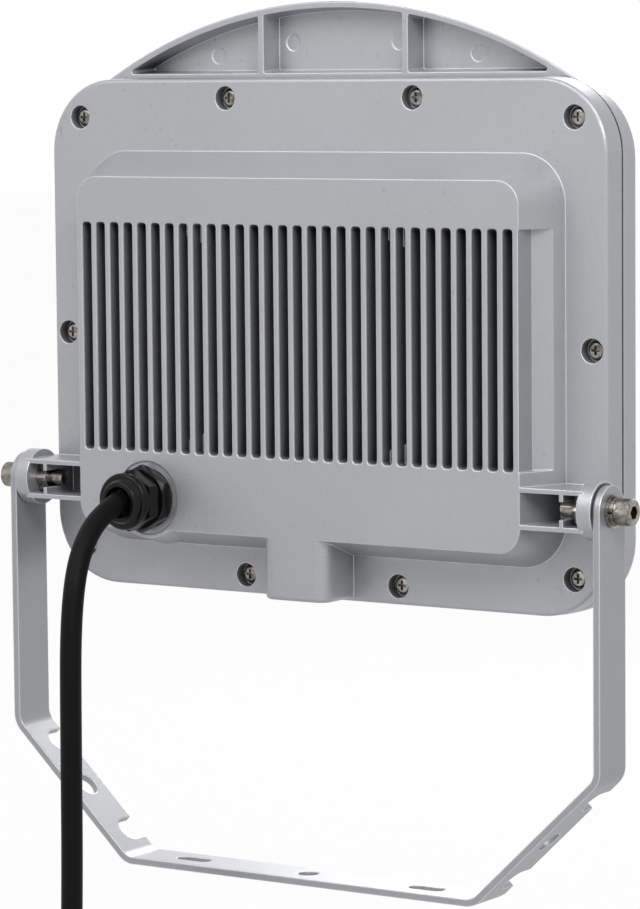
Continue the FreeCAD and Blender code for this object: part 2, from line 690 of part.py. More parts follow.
def frame_screws():
    return Part.makeCompound([
        pan_screw(x, z, SCREW_SEAT, 1, SCREW_R, SCREW_HEAD_R, SCREW_HEAD_H, SCREW_LENGTH)
        for x, z in screw_points()])


def front_glass():
    return chamber_slab(-GLASS_INSET, CHAMBER_R - GLASS_INSET, GLASS_FRONT, GLASS_REAR)


def glass_seal():
    """A U-section rubber seal round the glass edge."""
    rear = GLASS_REAR + GLASS_SEAL_T
    outer = chamber_slab(-GLASS_SEAL_PLAY, CHAMBER_R - GLASS_SEAL_PLAY, FRAME_INNER, rear)
    inset = GLASS_INSET + GLASS_SEAL_LIP
    inner = chamber_slab(-inset, CHAMBER_R - inset, FRAME_INNER - 1, rear + 1)
    return outer.cut(inner).cut(front_glass())


def reflector():
    """A shallow pressed tray from the board out to the glass seal."""
    rim_y = GLASS_REAR + GLASS_SEAL_T
    base_y = BOARD_SEAT_Y - BOARD_T
    lip = REFLECTOR_PLAY + GLASS_SEAL_PLAY

    def base_wire(grow, y):
        w, h = REFLECTOR_BASE_HALF + grow, REFLECTOR_BASE_HALF_H + grow
        return round_wire(-w, w, LIGHT_Z - h, LIGHT_Z + h, REFLECTOR_BASE_R + grow, y)

    shell = ruled([window_wire(REFLECTOR_T * 2, rim_y), base_wire(REFLECTOR_T * 2, base_y)])
    hollow = ruled([window_wire(0, rim_y), base_wire(0, base_y - REFLECTOR_T)])
    rim = chamber_slab(-lip, CHAMBER_R - lip, rim_y, rim_y + REFLECTOR_T)
    tray = shell.fuse(rim).cut(hollow)
    tray = tray.cut(window_slab(rim_y - 1, rim_y + EPS))
    light = round_slab(-LIGHT_HALF, LIGHT_HALF, LIGHT_Z - LIGHT_HALF, LIGHT_Z + LIGHT_HALF, 3,
                       base_y - REFLECTOR_T - 1, base_y + 1)
    tray = tray.cut(light)
    for x, z in pad_points():
        tray = tray.cut(rod_y(x, base_y - REFLECTOR_T - 1, base_y + 1, z, M3_R + SCREW_CLEAR))
    return tray


def led_board():
    board = board_slab(0, BOARD_SEAT_Y - BOARD_T, BOARD_SEAT_Y)
    for x, z in pad_points():
        board = board.cut(rod_y(x, BOARD_SEAT_Y - BOARD_T - 1, BOARD_SEAT_Y + 1, z, M3_R + SCREW_CLEAR))
    return board


def leds():
    front = BOARD_SEAT_Y - BOARD_T
    first = -(LED_ROWS - 1) / 2 * LED_PITCH
    spots = [first + k * LED_PITCH for k in range(LED_ROWS)]
    half = LED_SIZE / 2
    chips = [box(x - half, x + half, front - LED_T, front, LIGHT_Z + z - half, LIGHT_Z + z + half)
             for x in spots for z in spots]
    return Part.makeCompound(chips)


def m3_screws(points, seat, length):
    return Part.makeCompound([
        pan_screw(x, z, seat, -1, M3_R, M3_HEAD_R, M3_HEAD_H, length - M3_END_ROOM) for x, z in points])


def board_screws():
    layers = BOARD_T + REFLECTOR_T
    return m3_screws(pad_points(), BOARD_SEAT_Y - layers, layers + M3_DEPTH)


def driver_plate():
    plate = box(DRIVER_X0 - DRIVER_EAR, DRIVER_X1 + DRIVER_EAR, DRIVER_BACK, CHAMBER_BACK,
                DRIVER_Z0, DRIVER_Z1)
    corners = [e for e in plate.Edges if e.BoundBox.XLength < EPS and e.BoundBox.ZLength < EPS]
    plate = plate.makeFillet(4, corners)
    for x, z in driver_screw_points():
        plate = plate.cut(rod_y(x, DRIVER_BACK - 1, CHAMBER_BACK + 1, z, M3_R + SCREW_CLEAR))
    return plate


def driver_cover():
    t = DRIVER_SHELL_T
    outer = box(DRIVER_X0, DRIVER_X1, DRIVER_FRONT, DRIVER_BACK, DRIVER_Z0, DRIVER_Z1)
    corners = [e for e in outer.Edges if e.BoundBox.YLength > 1 or e.BoundBox.YMax < DRIVER_FRONT + EPS]
    outer = outer.makeFillet(1.5, corners)
    return outer.cut(box(DRIVER_X0 + t, DRIVER_X1 - t, DRIVER_FRONT + t, DRIVER_BACK + 1,
                         DRIVER_Z0 + t, DRIVER_Z1 - t))


def driver_board():
    """The driver's circuit board on four moulded feet."""
    x0, x1 = DRIVER_X0 + 3, DRIVER_X1 - 3
    z0, z1 = DRIVER_Z0 + 3, DRIVER_Z1 - 3
    board = box(x0, x1, PCB_FACE, PCB_Y, z0, z1)
    feet = [rod_y(x, PCB_Y - EPS, DRIVER_BACK, z, 1.5) for x in (x0 + 3, x1 - 3) for z in (z0 + 3, z1 - 3)]
    return board.multiFuse(feet)


def driver_transformer():
    """Ferrite core with its winding between the core's two halves."""
    top, x, z = PCB_FACE, DRIVER_MID_X, DRIVER_MID_Z
    core = box(x - 13, x + 13, top - 13, top, z - 6, z + 6)
    core = core.cut(box(x - 9, x + 9, top - 10, top - 3, z - 7, z + 7))
    winding = box(x - 7.5, x + 7.5, top - 9, top - 4, z - 7.8, z + 7.8)
    web = box(x - 10, x + 10, top - 7, top - 6, z - 1, z + 1)
    return core.multiFuse([winding, web])


def driver_capacitors():
    front = PCB_FACE - CAPACITOR_H
    cans = []
    for x in (DRIVER_X0 + CAPACITOR_STEP, DRIVER_X0 + 2 * CAPACITOR_STEP, DRIVER_X1 - CAPACITOR_STEP):
        can = rod_y(x, front, PCB_FACE, DRIVER_MID_Z, CAPACITOR_R)
        cans.append(can.makeFillet(0.8, [e for e in can.Edges if e.BoundBox.YMax < front + EPS]))
    return Part.makeCompound(cans)


def driver_screws():
    return m3_screws(driver_screw_points(), DRIVER_BACK, DRIVER_PLATE_T + M3_BLIND)


def terminal_block():
    """A three-pole block with wire mouths towards the front and screw wells on its gland side."""
    z0 = GLAND_Z - TERMINAL_H / 2
    block = box(TERMINAL_X0, TERMINAL_X0 + TERMINAL_W, TERMINAL_FRONT, CHAMBER_BACK, z0, z0 + TERMINAL_H)
    corners = [e for e in block.Edges if e.BoundBox.XLength < EPS and e.BoundBox.ZLength < EPS]
    block = block.makeFillet(1.5, corners)
    for k in (-1, 0, 1):
        z = GLAND_Z + k * CORE_SPREAD
        well = rod_x(TERMINAL_X0 - 1, TERMINAL_X0 + 4, TERMINAL_FRONT + TERMINAL_D * 0.65, z, 2.0)
        block = block.cut(well)
    return block


def rounded_path(points, share=0.45):
    """Straight runs joined by tangent arcs. Each arc takes its share of the shorter run beside it."""
    pts = [V(*p) for p in points]
    edges = []
    radii = []
    last = pts[0]
    for a, b, c in zip(pts, pts[1:], pts[2:]):
        u = (b - a).normalize()
        w = (c - b).normalize()
        turn = u.getAngle(w)
        back = share * min((b - a).Length, (c - b).Length)
        r = back / math.tan(turn / 2)
        radii.append(r)
        start = b - u * back
        end = b + w * back
        inward = (w - u).normalize()
        centre = b + inward * (r / math.cos(turn / 2))
        middle = centre - inward * r
        edges.append(Part.LineSegment(last, start).toShape())
        edges.append(Part.Arc(start, middle, end).toShape())
        last = end
    edges.append(Part.LineSegment(last, pts[-1]).toShape())
    return Part.Wire(edges), radii


def tube(points, r, share=0.45):
    path, radii = rounded_path(points, share)
    start = V(*points[0])
    ahead = V(*points[1]) - start
    ring = Part.Wire([Part.makeCircle(r, start, ahead)])
    solid = path.makePipeShell([ring], True, False)
    return solid, path, radii


def cord_points():
    return [(GLAND_X + x, NOSE_Y1 + y, GLAND_Z + z) for x, y, z in CORD_POINTS]


def cable_inner():
    """The cable's end inside the gland and the housing, cut square to the free part."""
    start, second = [V(*p) for p in cord_points()[:2]]
    ahead = (second - start).normalize()
    r = CABLE_D / 2
    sheath = rod_y(GLAND_X, CABLE_TAIL, start.y + r, GLAND_Z, r)
    waste = Part.makeCylinder(4 * r, 4 * r, start, ahead)
    return sheath.cut(waste)


def supply_cores():
    """Three insulated cores from the cable's end to the terminal block's mouths."""
    front = TERMINAL_FRONT - 6.0
    x1 = TERMINAL_X0 + TERMINAL_W / 2
    cores = []
    for k in (-1, 0, 1):
        z0 = GLAND_Z + k * (CORE_R * 2 + 0.2)
        z1 = GLAND_Z + k * CORE_SPREAD
        route = [(GLAND_X, CABLE_TAIL, z0), (GLAND_X, front, z0), (x1, front, z1), (x1, TERMINAL_FRONT, z1)]
        cores.append(tube(route, CORE_R)[0])
    return Part.makeCompound(cores)


def driver_input_wires():
    """Two wires from the terminal block straight to the driver's end."""
    y = TERMINAL_FRONT + 2.6
    wires = [rod_x(DRIVER_X1, TERMINAL_X0, y, GLAND_Z + CABLE_D / 2 + gap, WIRE_R) for gap in (1.6, 4.2)]
    return Part.makeCompound(wires)


def led_wires():
    """Two wires from the driver's front up to the LED board's lower edge."""
    y = BOARD_SEAT_Y - BOARD_T / 2
    top = LIGHT_Z - BOARD_HALF_H
    wires = []
    for x in LED_WIRE_XS:
        route = [(x, DRIVER_FRONT, DRIVER_MID_Z), (x, y, DRIVER_MID_Z), (x, y, top)]
        wires.append(tube(route, BOARD_T / 2)[0])
    return Part.makeCompound(wires)


def gland_ring():
    ring = rod_y(GLAND_X, GLAND_SEAT, GLAND_SEAT + GLAND_RING_T, GLAND_Z, GLAND_RING_R)
    return ring.cut(rod_y(GLAND_X, GLAND_SEAT - 1, GLAND_SEAT + GLAND_RING_T + 1, GLAND_Z,
                          GLAND_THREAD_R + GLAND_THREAD_CLEAR))


def chamfered_hex_y(y0, y1, across_flats, front, back):
    """A hexagon along Y whose apexes are turned down by a cone at the chosen ends."""
    apex = across_flats / 2 / math.cos(math.pi / 6)
    cut = apex - across_flats / 2 * 0.98
    solid = hexagon_y(GLAND_X, y0, y1, GLAND_Z, across_flats)
    keep = rod_y(GLAND_X, y0, y1, GLAND_Z, apex)
    ends = [e for e in keep.Edges if e.BoundBox.YLength < EPS
            and ((back and abs(e.BoundBox.YMin - y0) < EPS) or (front and abs(e.BoundBox.YMin - y1) < EPS))]
    return solid.common(keep.makeChamfer(cut * 0.8, ends))


def gland_body():
    """Threaded shank through the wall, hexagon, and the neck that carries the dome nut."""
    shank = rod_y(GLAND_X, GLAND_NUT_SEAT - LOCKNUT_T - 1.5, HEX_Y0 + EPS, GLAND_Z, GLAND_THREAD_R)
    hexagon_part = chamfered_hex_y(HEX_Y0, HEX_Y1, GLAND_HEX_AF, True, True)
    neck = rod_y(GLAND_X, HEX_Y1 - EPS, NECK_Y1, GLAND_Z, GLAND_NECK_R)
    bore = rod_y(GLAND_X, GLAND_NUT_SEAT - LOCKNUT_T - 3, NECK_Y1 + 1, GLAND_Z, GLAND_BUSH_R + BUSH_CLEAR)
    return shank.multiFuse([hexagon_part, neck]).cut(bore)


def gland_cap():
    """The dome nut: hexagon, collar and rounded nose."""
    hexagon_part = chamfered_hex_y(CAP_Y0, COLLAR_Y0 + EPS, GLAND_CAP_AF, False, True)
    collar = rod_y(GLAND_X, COLLAR_Y0, COLLAR_Y1, GLAND_Z, GLAND_COLLAR_R)
    collar = collar.makeFillet(1.6, [e for e in collar.Edges if e.BoundBox.YLength < EPS])
    nose = cone_y(GLAND_X, COLLAR_Y1 - 1.6, NOSE_Y1, GLAND_Z, GLAND_COLLAR_R - 1.6, GLAND_NOSE_R - 1.0)
    nose = nose.makeFillet(1.2, [e for e in nose.Edges if abs(e.BoundBox.YMin - NOSE_Y1) < EPS])
    solid = hexagon_part.multiFuse([collar, nose])
    room = rod_y(GLAND_X, CAP_Y0 - 1, NECK_Y1 + BUSH_COLLAR_T + 0.2, GLAND_Z, GLAND_NECK_R + BUSH_CLEAR)
    mouth = cone_y(GLAND_X, NOSE_Y1 - 2.0, NOSE_Y1 + EPS, GLAND_Z, GLAND_MOUTH_R, GLAND_MOUTH_R + 1.6)
    hole = rod_y(GLAND_X, CAP_Y0, NOSE_Y1 + 1, GLAND_Z, GLAND_MOUTH_R)
    return solid.cut(room).cut(hole).cut(mouth)


def gland_bush():
    """The rubber bush that grips the cable, with its collar on the neck's end."""
    r = CABLE_D / 2 + 0.05
    end = NECK_Y1 + BUSH_COLLAR_T
    sleeve = rod_y(GLAND_X, HEX_Y0, end, GLAND_Z, GLAND_BUSH_R)
    collar = rod_y(GLAND_X, NECK_Y1, end, GLAND_Z, GLAND_NECK_R)
    return sleeve.fuse(collar).cut(rod_y(GLAND_X, HEX_Y0 - 1, end + 1, GLAND_Z, r))


def gland_locknut():
    y1 = GLAND_NUT_SEAT
    y0 = y1 - LOCKNUT_T
    nut = chamfered_hex_y(y0, y1, LOCKNUT_AF, True, True)
    return nut.cut(rod_y(GLAND_X, y0 - 1, y1 + 1, GLAND_Z, GLAND_THREAD_R + THREAD_CLEAR))


def ring_x(x0, x1, outer_r, inner_r):
    return rod_x(x0, x1, 0, 0, outer_r).cut(rod_x(x0 - 1, x1 + 1, 0, 0, inner_r))


def friction_washers():
    return both_sides(ring_x(DISC_FACE_X, ARM_INNER_X, PAD_WASHER_R, BOLT_R + BOLT_CLEAR))


def pivot_washers():
    return both_sides(ring_x(ARM_OUTER_X, WASHER_X1, WASHER_R, BOLT_R + BOLT_CLEAR))


def spring_washers():
    """Split rings pressed flat under the bolt heads."""
    ring = ring_x(WASHER_X1, SPRING_X1, SPRING_WASHER_R, BOLT_R + BOLT_CLEAR)
    split = box(WASHER_X1 - 1, SPRING_X1 + 1, 0, SPRING_WASHER_R + 1, -0.5, 0.5)
    return both_sides(ring.cut(split))


def pivot_bolts():
    """Socket head bolts, each from outside its arm into the captive nut."""
    head = rod_x(SPRING_X1, SPRING_X1 + BOLT_HEAD_H, 0, 0, BOLT_HEAD_R)
    rim = [e for e in head.Edges if abs(e.BoundBox.XMin - SPRING_X1 - BOLT_HEAD_H) < EPS]
    head = head.makeChamfer(0.6, rim)
    shank = rod_x(BOLT_END_X, SPRING_X1 + EPS, 0, 0, BOLT_R)
    key = hexagon(BOLT_KEY_AF, BOLT_KEY_DEPTH + 1)
    key.rotate(V(0, 0, 0), V(0, 1, 0), 90)
    key.translate(V(SPRING_X1 + BOLT_HEAD_H - BOLT_KEY_DEPTH, 0, 0))
    return both_sides(head.fuse(shank).cut(key))


def captive_nuts():
    x1 = HEAD_HALF_WIDTH - BOX_WALL
    nut = hexagon(NUT_AF, NUT_H)
    nut.rotate(V(0, 0, 0), V(0, 1, 0), 90)
    nut.translate(V(x1 - NUT_H, 0, 0))
    return both_sides(nut.cut(rod_x(x1 - NUT_H - 1, x1 + 1, 0, 0, BOLT_R + THREAD_CLEAR)))


def strip_profile():
    """The strip's edge outline in the XZ plane, folded at four corners."""
    dx = ARM_OUTER_X - FOOT_CORNER_X
    slope = math.atan2(SHOULDER_Z, dx)

    def offset_side(t):
        """Corner points and fold radii of the strip's surface that lies t inside the outer one."""
        shoulder = (ARM_OUTER_X - t, SHOULDER_Z + t * math.tan((math.pi / 2 - slope) / 2))
        foot = (FOOT_CORNER_X - t * math.tan(slope / 2), t)
        top = (ARM_OUTER_X - t, PIVOT_HEIGHT + STRIP_W / 2)
        right = [top, shoulder, foot]
        left = [(-x, z) for x, z in reversed(right)]
        return right + left, FOLD_R - t

    def chain(points, r):
        edges = []
        pts = [V(x, 0, z) for x, z in points]
        last = pts[0]
        for a, b, c in zip(pts, pts[1:], pts[2:]):
            u = (b - a).normalize()
            w = (c - b).normalize()
            half = u.getAngle(w) / 2
            back = r * math.tan(half)
            inward = (w - u).normalize()
            middle = b + inward * (r / math.cos(half) - r)
            edges.append(Part.LineSegment(last, b - u * back).toShape())
            edges.append(Part.Arc(b - u * back, middle, b + w * back).toShape())
            last = b + w * back
        edges.append(Part.LineSegment(last, pts[-1]).toShape())
        return edges, pts[0], pts[-1]

    outer, o0, o1 = chain(*offset_side(0))
    inner, i0, i1 = chain(*offset_side(STRIP_T))
    ends = [Part.LineSegment(o0, i0).toShape(), Part.LineSegment(o1, i1).toShape()]
    return Part.Wire(Part.__sortEdges__(outer + inner + ends))


def slope_frame():
    """A point on the right slope's outer face at a distance from the foot corner, and its normal."""
    d = V(ARM_OUTER_X - FOOT_CORNER_X, 0, SHOULDER_Z)
    length = d.Length
    along = V(d).normalize()
    normal = V(-along.z, 0, along.x)
    return V(FOOT_CORNER_X, 0, 0), along, normal, length


def upright_slot(x, z0, z1):
    """The cutter of a fixing slot along X, square to the foot."""
    half = (FIXING_SLOT_L - FIXING_SLOT_W) / 2
    r = FIXING_SLOT_W / 2
    ends = [Part.makeCylinder(r, z1 - z0, V(x + s * half, 0, z0)) for s in (1, -1)]
    return box(x - half, x + half, -r, r, z0, z1).multiFuse(ends)


def notch(spot, along, normal, reach):
    """The cutter of a U-shaped bite from the strip's front edge, centred on a point of the slope."""
    centre = spot + V(0, -STRIP_W / 2 + NOTCH_INSET, 0) - normal * reach
    corner = centre - along * NOTCH_R - V(0, NOTCH_INSET + 1, 0)
    width, depth = along * (2 * NOTCH_R), V(0, NOTCH_INSET + 1, 0)
    mouth = Part.makePolygon([corner, corner + width, corner + width + depth, corner + depth, corner])
    end = Part.makeCylinder(NOTCH_R, 2 * reach, centre, normal)
    return Part.Face(mouth).extrude(normal * (2 * reach)).fuse(end)


def bracket():
    """The stirrup: arms, slopes and foot, with slots, holes, bites and rounded arm ends."""
    face = Part.Face(strip_profile())
    strip = face.extrude(V(0, STRIP_W, 0))
    strip.translate(V(0, -STRIP_W / 2, 0))

    foot_point, along, normal, length = slope_frame()
    reach = 3 * STRIP_T
    spots = [NOTCH_FROM_FOOT, length - NOTCH_FROM_SHOULDER]
    cuts = [notch(foot_point + along * d, along, normal, reach) for d in spots]
    middle = foot_point + along * (length / 2)
    cuts.append(Part.makeCylinder(SLOPE_HOLE_R, 2 * reach, middle - normal * reach, normal))
    cuts.append(upright_slot(FIXING_SLOT_X, -1, STRIP_T + 1))
    cuts.append(rod_x(ARM_INNER_X - 1, ARM_OUTER_X + 1, 0, PIVOT_HEIGHT, BOLT_R + BOLT_CLEAR))
    above = PIVOT_HEIGHT + STRIP_W
    arm_top = box(ARM_INNER_X - 1, ARM_OUTER_X + 1, -STRIP_W, STRIP_W, PIVOT_HEIGHT, above)
    cuts.append(arm_top.cut(rod_x(ARM_INNER_X - 2, ARM_OUTER_X + 2, 0, PIVOT_HEIGHT, STRIP_W / 2)))
    for cut in cuts:
        strip = strip.cut(cut).cut(cut.mirror(V(0, 0, 0), V(1, 0, 0)))
    return strip.cut(Part.makeCylinder(CENTRE_HOLE_R, STRIP_T + 2, V(0, 0, -1)))


def supply_cable():
    """The free cable. Its volume is compared with its section times its length."""
    solid, path, radii = tube(cord_points(), CABLE_D / 2)
    expected = math.pi * (CABLE_D / 2) ** 2 * path.Length
    print("cable length %.1f, volume ratio %.4f" % (path.Length, solid.Volume / expected))
    print("cable bend radii", [round(r, 1) for r in radii])
    return solid


def core_routes():
    """The three stripped cores at the cable's far end, fanned out a little."""
    before, end = [V(*p) for p in cord_points()[-2:]]
    ahead = (end - before).normalize()
    across = ahead.cross(V(0, 1, 0)).normalize()
    routes = []
    for k in range(3):
        turn = math.radians(90 + 120 * k)
        side = across * math.cos(turn) + ahead.cross(across) * math.sin(turn)
        inner = side * (CORE_R * 1.2)
        outer = side * (CORE_R * 1.2 + CORE_FAN)
        length = CORE_END_LENGTH - 2.0 * k
        points = [end + inner, end + inner + ahead * (length * 0.3), end + outer + ahead * (length * 0.75),
                  end + outer * 1.04 + ahead * length]
        routes.append(points)
    return routes


def cable_cores():
    return Part.makeCompound([tube([tuple(p) for p in route], CORE_R)[0] for route in core_routes()])


def core_ferrules():
    """Crimped ferrules: a collar and a bare tip on the end of each core."""
    parts = []
    for route in core_routes():
        end = route[-1]
        ahead = (end - route[-2]).normalize()
        collar = Part.makeCylinder(FERRULE_COLLAR_R, FERRULE_COLLAR_L, end, ahead)
        tip = Part.makeCylinder(FERRULE_R, FERRULE_L + FERRULE_COLLAR_L, end, ahead)
        parts.append(collar.fuse(tip))
    return Part.makeCompound(parts)


def save(name, shape, lift):
    """Writes one sub-part, lifted from the tilt axis to its height where it belongs to the head."""
    if lift:
        shape.translate(V(0, 0, PIVOT_HEIGHT))
    facts = (name, len(shape.Solids), shape.isValid(), shape.Volume)
    print("%-20s solids %3d valid %s volume %.0f" % facts)
    shape.exportStep("parts/%s.step" % name)


HEAD_PARTS = [
    rear_housing, front_frame, housing_seal, frame_screws, front_glass, glass_seal, reflector,
    led_board, leds, board_screws, led_wires,
    driver_plate, driver_cover, driver_board, driver_transformer, driver_capacitors, driver_screws,
    driver_input_wires, terminal_block, supply_cores,
    gland_ring, gland_body, gland_cap, gland_bush, gland_locknut, cable_inner,
    friction_washers, pivot_washers, spring_washers, pivot_bolts, captive_nuts,
    supply_cable, cable_cores, core_ferrules,
]

for maker in HEAD_PARTS:
    save(maker.__name__, maker(), True)
save("bracket", bracket(), False)
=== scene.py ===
import math

import bpy
from mathutils import Matrix, Vector


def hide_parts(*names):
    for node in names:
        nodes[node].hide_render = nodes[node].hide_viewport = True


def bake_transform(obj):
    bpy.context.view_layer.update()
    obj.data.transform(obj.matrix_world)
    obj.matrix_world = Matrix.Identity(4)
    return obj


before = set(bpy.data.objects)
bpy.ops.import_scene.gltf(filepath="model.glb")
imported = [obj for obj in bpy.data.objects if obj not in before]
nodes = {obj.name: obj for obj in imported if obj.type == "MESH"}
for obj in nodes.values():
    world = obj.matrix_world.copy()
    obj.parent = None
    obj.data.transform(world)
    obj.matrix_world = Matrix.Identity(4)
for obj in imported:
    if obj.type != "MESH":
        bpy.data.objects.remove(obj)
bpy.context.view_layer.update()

# Camera, fitted to the straight edges of the housing and the bracket
PICTURE_H = 909
FOCAL_PX = 3968.4
CAMERA_TURN = 0.5836
CAMERA_RISE = 0.0983
CAMERA_ROLL = -0.0091
CAMERA_DISTANCE = 1.9613
CAMERA_TARGET = Vector((-0.012435, 0.004646, 0.2159))


def look_frame(back, roll=0.0):
    """Right, up and back axes of something that looks against back."""
    right = (-back).cross(Vector((0, 0, 1))).normalized()
    up = right.cross(-back)
    return (right * math.cos(roll) + up * math.sin(roll),
            up * math.cos(roll) - right * math.sin(roll), back)


def aimed(obj, place, back, roll=0.0):
    axes = look_frame(back.normalized(), roll)
    obj.matrix_world = Matrix.Translation(place) @ Matrix(axes).transposed().to_4x4()
    bpy.context.scene.collection.objects.link(obj)
    return obj


camera_data = bpy.data.cameras.new("photo_camera")
camera_data.sensor_width = 36.0
camera_data.lens = FOCAL_PX * camera_data.sensor_width / PICTURE_H
camera_data.clip_end = 50.0
camera_back = Vector((-math.sin(CAMERA_TURN) * math.cos(CAMERA_RISE),
                      math.cos(CAMERA_TURN) * math.cos(CAMERA_RISE), math.sin(CAMERA_RISE)))
camera = aimed(bpy.data.objects.new("photo_camera", camera_data),
               CAMERA_TARGET + camera_back * CAMERA_DISTANCE, camera_back, CAMERA_ROLL)
bpy.context.scene.camera = camera

# The supply cable: its route from the middle of the gland's nose, in metres
TILT_AXIS = Vector((0, 0, 0.196))
CABLE_D = 0.0108
GLAND_NOSE = Vector((0.0885, 0.0366, 0.1897))
ROUTE = [
    (0.0000, -0.0001, 0.0000),
    (-0.0002, 0.0136, -0.0047),
    (-0.0009, 0.0265, -0.0134),
    (-0.0022, 0.0366, -0.0259),
    (-0.0037, 0.0433, -0.0425),
    (-0.0046, 0.0470, -0.0657),
    (-0.0049, 0.0480, -0.0977),
    (-0.0045, 0.0478, -0.1337),
    (-0.0036, 0.0470, -0.1697),
    (-0.0025, 0.0467, -0.2057),
    (-0.0020, 0.0474, -0.2407),
    (-0.0023, 0.0487, -0.2747),
]


def route_line(name, points):
    """Points along the smooth line that a NURBS spline draws from the route's points."""
    curve = bpy.data.curves.new(name, "CURVE")
    curve.dimensions = "3D"
    spline = curve.splines.new("NURBS")
    spline.points.add(len(points) - 1)
    for point, co in zip(spline.points, points):
        point.co = (*(Vector(co) + GLAND_NOSE), 1)
    spline.order_u = 3
    spline.use_endpoint_u = True
    spline.resolution_u = 10
    holder = bpy.data.objects.new(name, curve)
    bpy.context.scene.collection.objects.link(holder)
    bpy.context.view_layer.update()
    mesh = bpy.data.meshes.new_from_object(holder)
    line = [v.co.copy() for v in mesh.vertices]
    bpy.data.objects.remove(holder)
    return line


def swept_tube(name, line, rings, sides=40):
    """A closed tube of the cable's thickness along line.

    Rings are the scale at its start, then pairs of distance back from its end and scale there.
    """
    tangents = []
    for i in range(len(line)):
        a, b = line[max(i - 1, 0)], line[min(i + 1, len(line) - 1)]
        tangents.append((b - a).normalized())
    side = tangents[0].orthogonal().normalized()
    stations = []
    for i, (co, tangent) in enumerate(zip(line, tangents)):
        side = (side - tangent * side.dot(tangent)).normalized()
        stations.append((co, tangent, side))
    loops = [(stations[0], 0.0, rings[0])]
    loops += [(s, 0.0, 1.0) for s in stations[1:-1]]
    last = stations[-1]
    for back, scale in rings[1:]:
        loops.append((last, -back, scale))
    verts, faces = [], []
    for (co, tangent, across), back, scale in loops:
        other = tangent.cross(across)
        for k in range(sides):
            turn = 2 * math.pi * k / sides
            spoke = across * math.cos(turn) + other * math.sin(turn)
            verts.append(co + tangent * back + spoke * (CABLE_D / 2 * scale))
    for i in range(len(loops) - 1):
        for k in range(sides):
            a, b = i * sides + k, i * sides + (k + 1) % sides
            faces.append((a, b, b + sides, a + sides))
    faces.append(tuple(range(sides))[::-1])
    faces.append(tuple(range((len(loops) - 1) * sides, len(loops) * sides)))
    mesh = bpy.data.meshes.new(name)
    mesh.from_pydata([tuple(v) for v in verts], [], faces)
    mesh.update()
    for polygon in mesh.polygons:
        polygon.use_smooth = len(polygon.vertices) == 4
    obj = bpy.data.objects.new(name, mesh)
    bpy.context.scene.collection.objects.link(obj)
    return obj


# The cut end is slightly rounded
CABLE_RINGS = [1.0, (0.0006, 1.0), (0.0002, 0.97), (0.0, 0.90)]
cable_line = route_line("cable_line", ROUTE)
cable = swept_tube("flying_lead", cable_line, CABLE_RINGS)


# Materials

